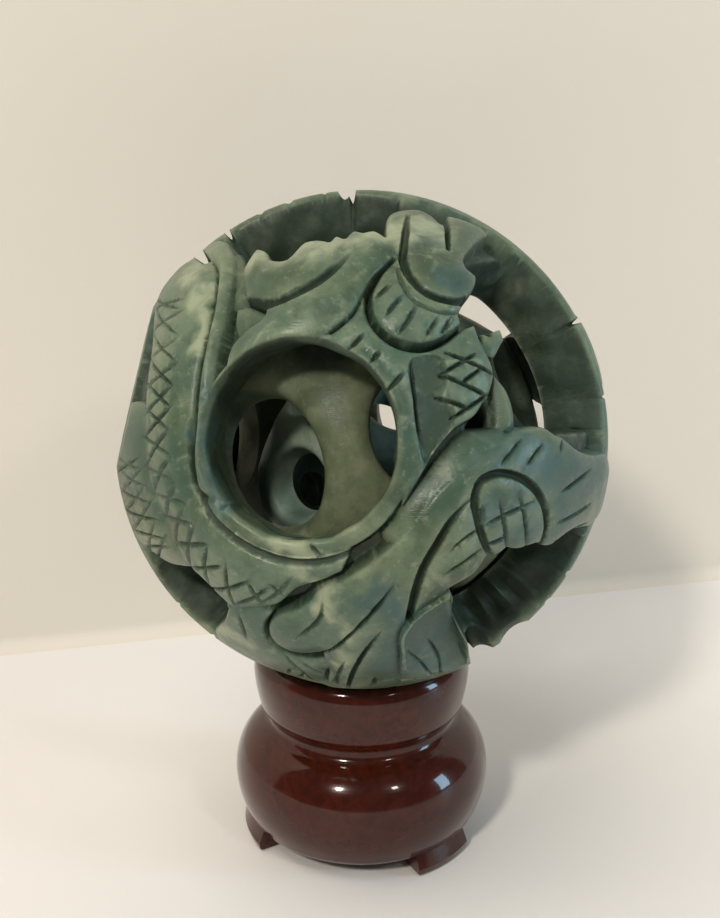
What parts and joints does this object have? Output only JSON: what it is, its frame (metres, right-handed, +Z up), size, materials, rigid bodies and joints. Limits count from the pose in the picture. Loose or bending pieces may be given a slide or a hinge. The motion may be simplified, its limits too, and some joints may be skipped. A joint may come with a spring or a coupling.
{
  "type": "jade puzzle ball on stand",
  "caption": "Carved openwork green stone puzzle ball, with loose pierced balls nested inside it, resting in the cup of a turned dark wood stand on short feet.",
  "frame": {"origin": "centre of the stand on the floor, at the level of the feet's undersides", "axes": "+Z up along the stand's axis; -Y is the front, the side the carved face looks to; +X is the viewer's right"},
  "size_m": [0.0789, 0.079, 0.1103],
  "materials": {
    "green_stone_shell": "carved and wax-polished green stone with pale veins",
    "green_stone_second": "plain polished green stone",
    "green_stone_third": "plain polished green stone",
    "dark_wood": "turned hardwood under dark red-brown gloss lacquer"
  },
  "bodies": {
    "root": {"outer_ball": "green_stone_shell", "middle_ball": "green_stone_second", "inner_ball": "green_stone_third", "stand": "dark_wood"}
  },
  "joints": []
}
